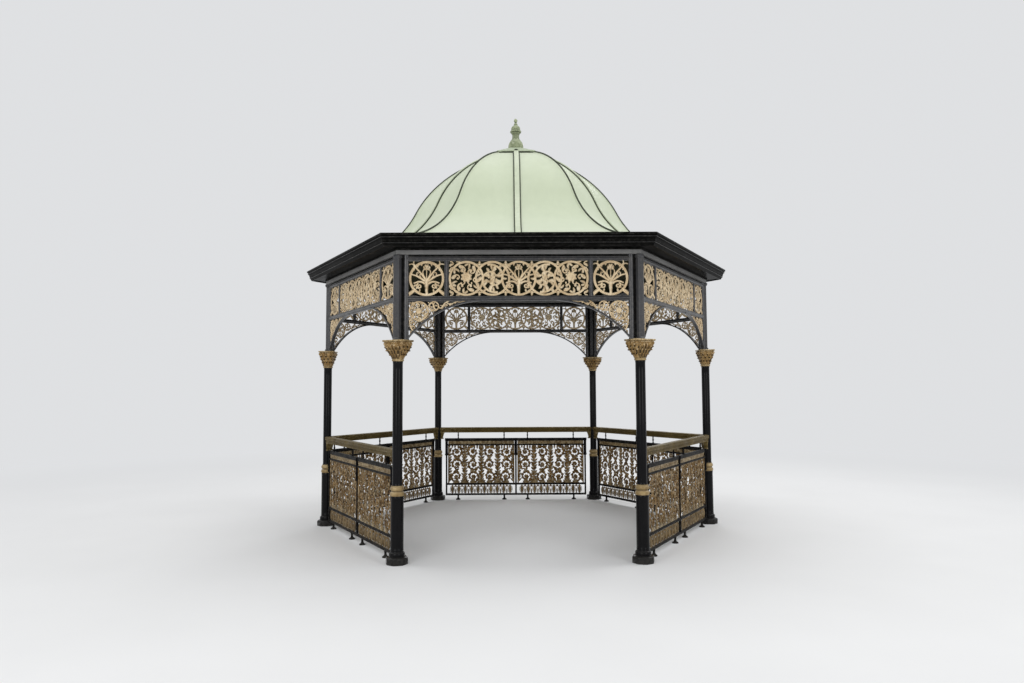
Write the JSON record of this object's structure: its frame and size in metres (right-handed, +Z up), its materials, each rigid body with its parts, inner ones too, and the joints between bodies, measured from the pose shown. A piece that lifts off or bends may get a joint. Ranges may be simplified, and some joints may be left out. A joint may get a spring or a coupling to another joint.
{
  "type": "bandstand",
  "caption": "Hexagonal cast-iron bandstand with slim columns, arched scrollwork friezes, railed bays round an open entrance, and a pale green ogee dome with a finial.",
  "frame": {"origin": "centre of the hexagonal plan at ground level", "axes": "+Z up, +X to the right seen from the entrance, +Y from the open entrance bay towards the back bay"},
  "size_m": [4.4734, 3.8742, 4.3314],
  "materials": {
    "black_ironwork": "semi-gloss black paint over cast and rolled iron",
    "black_cornice": "semi-gloss black paint on the moulded gutter",
    "gold_tracery": "pale weathered gold paint on cast scrollwork",
    "gold_trim": "aged gold paint on capitals and collars",
    "gold_handrail": "dull brown gold paint worn along the edges",
    "dome_green": "pale sage green satin paint with faint rain streaks",
    "batten_green": "pale sage green satin paint with dark joint lines",
    "finial_green": "weathered olive green paint"
  },
  "bodies": {
    "root": {"column_front_left": "black_ironwork", "column_front_right": "black_ironwork", "column_right": "black_ironwork", "column_back_right": "black_ironwork", "column_back_left": "black_ironwork", "column_left": "black_ironwork", "column_collars": "gold_trim", "column_capitals": "gold_trim", "ring_beam": "black_ironwork", "cornice": "black_cornice", "frieze_frame_front": "black_ironwork", "frieze_frame_front_right": "black_ironwork", "frieze_frame_back_right": "black_ironwork", "frieze_frame_back": "black_ironwork", "frieze_frame_back_left": "black_ironwork", "frieze_frame_front_left": "black_ironwork", "frieze_tracery_front": "gold_tracery", "frieze_tracery_front_right": "gold_tracery", "frieze_tracery_back_right": "gold_tracery", "frieze_tracery_back": "gold_tracery", "frieze_tracery_back_left": "gold_tracery", "frieze_tracery_front_left": "gold_tracery", "handrails": "gold_handrail", "railing_frame_front_right": "black_ironwork", "railing_frame_back_right": "black_ironwork", "railing_frame_back": "black_ironwork", "railing_frame_back_left": "black_ironwork", "railing_frame_front_left": "black_ironwork", "railing_panel_front_right": "gold_tracery", "railing_panel_back_right": "gold_tracery", "railing_panel_back": "gold_tracery", "railing_panel_back_left": "gold_tracery", "railing_panel_front_left": "gold_tracery", "dome_face_front": "dome_green", "dome_face_front_right": "dome_green", "dome_face_back_right": "dome_green", "dome_face_back": "dome_green", "dome_face_back_left": "dome_green", "dome_face_front_left": "dome_green", "face_battens": "batten_green", "corner_battens": "batten_green", "dome_cap": "dome_green", "finial": "finial_green"}
  },
  "joints": []
}
